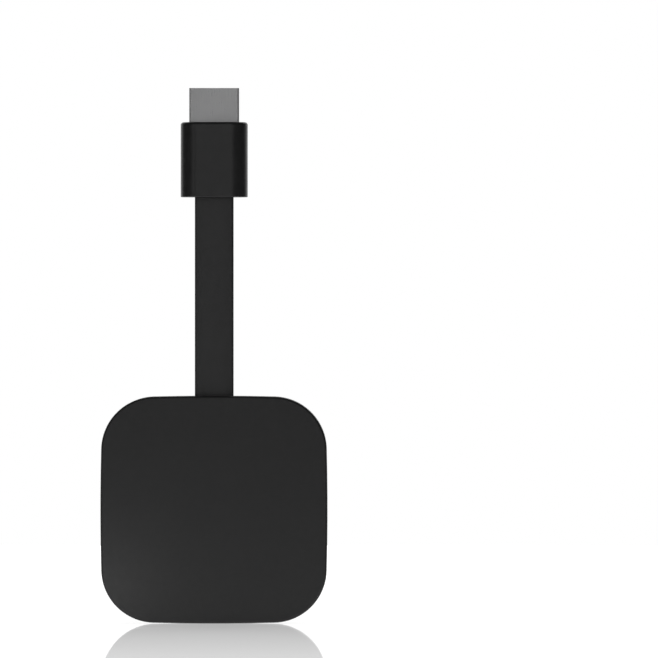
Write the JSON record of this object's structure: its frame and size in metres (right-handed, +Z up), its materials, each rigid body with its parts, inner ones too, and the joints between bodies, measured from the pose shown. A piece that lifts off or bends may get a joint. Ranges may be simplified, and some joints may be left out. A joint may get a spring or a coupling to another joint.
{
  "type": "streaming stick",
  "caption": "Rounded square media player puck that hangs on a short flat strap from a video plug, with power inlet, indicator and reset button in its foot.",
  "frame": {"origin": "centre of the plug housing's nose face, where the metal shell leaves it and where the socket's face meets it", "axes": "+X across the width, the bare front face looks along -Y, +Z up along the plug's shell; the puck hangs below"},
  "size_m": [0.0632, 0.0144, 0.1491],
  "materials": {
    "cover_plastic": "fine moulded texture, near black",
    "plug_plastic": "fine moulded texture, near black",
    "strap_rubber": "soft satin elastomer, near black",
    "button_plastic": "smooth moulded, near black",
    "plug_steel": "plated steel sheet",
    "inlet_steel": "plated steel sheet",
    "shield_steel": "tinned steel sheet",
    "screw_steel": "zinc plated",
    "insulator_plastic": "moulded black insulator",
    "inner_mould_plastic": "translucent grey moulding",
    "contact_metal": "gold plated",
    "wire_sleeve": "coloured wire sleeves",
    "board_laminate": "green solder mask",
    "chip_resin": "black moulded packages",
    "capacitor_ceramic": "ceramic body",
    "coil_ferrite": "ferrite body",
    "spreader_aluminium": "mill finish plate",
    "gap_pad": "soft filled silicone",
    "antenna_metal": "tinned bronze sheet",
    "pipe_clear": "clear moulded rod",
    "led_resin": "indicator package",
    "switch_plastic": "switch housing"
  },
  "bodies": {
    "plug": {"plug_housing": "plug_plastic", "plug_inner_mould": "inner_mould_plastic", "plug_shell": "plug_steel", "plug_insulator": "insulator_plastic", "plug_contacts": "contact_metal", "plug_wire_board": "board_laminate"},
    "strap": {"strap_jacket": "strap_rubber", "signal_pairs": "wire_sleeve", "single_wires": "wire_sleeve"},
    "puck": {"front_cover": "cover_plastic", "rear_cover": "cover_plastic", "main_board": "board_laminate", "board_screws": "screw_steel", "processor": "chip_resin", "processor_pad": "gap_pad", "shield_frame": "shield_steel", "shield_lid": "shield_steel", "front_thermal_pad": "gap_pad", "front_heat_spreader": "spreader_aluminium", "memory_chips": "chip_resin", "storage_chip": "chip_resin", "rear_thermal_pad": "gap_pad", "rear_heat_spreader": "spreader_aluminium", "wireless_module": "shield_steel", "antenna_left": "antenna_metal", "antenna_right": "antenna_metal", "power_chip": "chip_resin", "power_coils": "coil_ferrite", "capacitors": "capacitor_ceramic", "crystal": "shield_steel", "inlet_shell": "inlet_steel", "inlet_tongue": "insulator_plastic", "inlet_contacts": "contact_metal", "light_pipe": "pipe_clear", "status_led": "led_resin", "switch_body": "switch_plastic"},
    "reset_button": {"reset_cap": "button_plastic", "switch_plunger": "switch_plastic"}
  },
  "joints": [
    {"name": "strap_bend_upper", "type": "hinge", "parent": "plug", "child": "strap", "pos_m": [0, 0, -0.03475], "axis": [1, 0, 0], "range_deg": [-60, 60], "stiffness_Nm_per_rad": 0.04, "deforming": ["strap_jacket", "signal_pairs", "single_wires"]},
    {"name": "strap_bend_lower", "type": "hinge", "parent": "strap", "child": "puck", "pos_m": [0, 0, -0.06245], "axis": [1, 0, 0], "range_deg": [-60, 60], "stiffness_Nm_per_rad": 0.04, "deforming": ["strap_jacket", "signal_pairs", "single_wires"]},
    {"name": "reset_press", "type": "slide", "parent": "puck", "child": "reset_button", "axis": [0, 0, 1], "range_m": [0, 0.0003], "stiffness_N_per_m": 1500}
  ]
}
